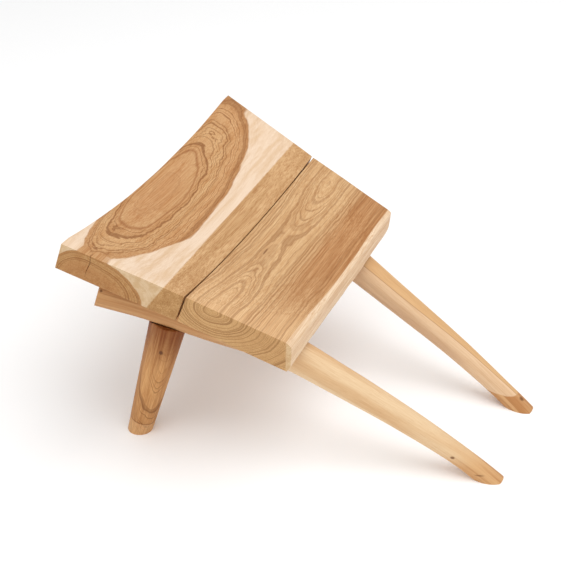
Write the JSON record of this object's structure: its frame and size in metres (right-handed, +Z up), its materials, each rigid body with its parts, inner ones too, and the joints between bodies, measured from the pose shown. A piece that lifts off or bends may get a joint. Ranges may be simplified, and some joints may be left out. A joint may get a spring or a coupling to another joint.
{
  "type": "wooden milking stool",
  "caption": "Low sloping teak milking stool: a dished plank seat on long curved branch legs that reach out past its low side, with short tapered legs under its high side.",
  "frame": {"origin": "on the floor, below the middle of the stool's bounding box", "axes": "+Z up, +X from the high edge of the seat towards the long legs' feet, Y along the grain of the planks with -Y on the right"},
  "size_m": [0.458, 0.375, 0.2555],
  "materials": {
    "teak_heartwood": "satin",
    "teak_sapwood": "satin",
    "branch_wood": "satin",
    "short_leg_wood": "satin",
    "screw_steel": "satin"
  },
  "bodies": {
    "root": {"seat_plank_high": "teak_heartwood", "seat_plank_low": "teak_sapwood", "branch_leg_right": "branch_wood", "branch_leg_left": "branch_wood", "short_leg_right": "short_leg_wood", "short_leg_left": "short_leg_wood", "plank_screws": "screw_steel"}
  },
  "joints": []
}
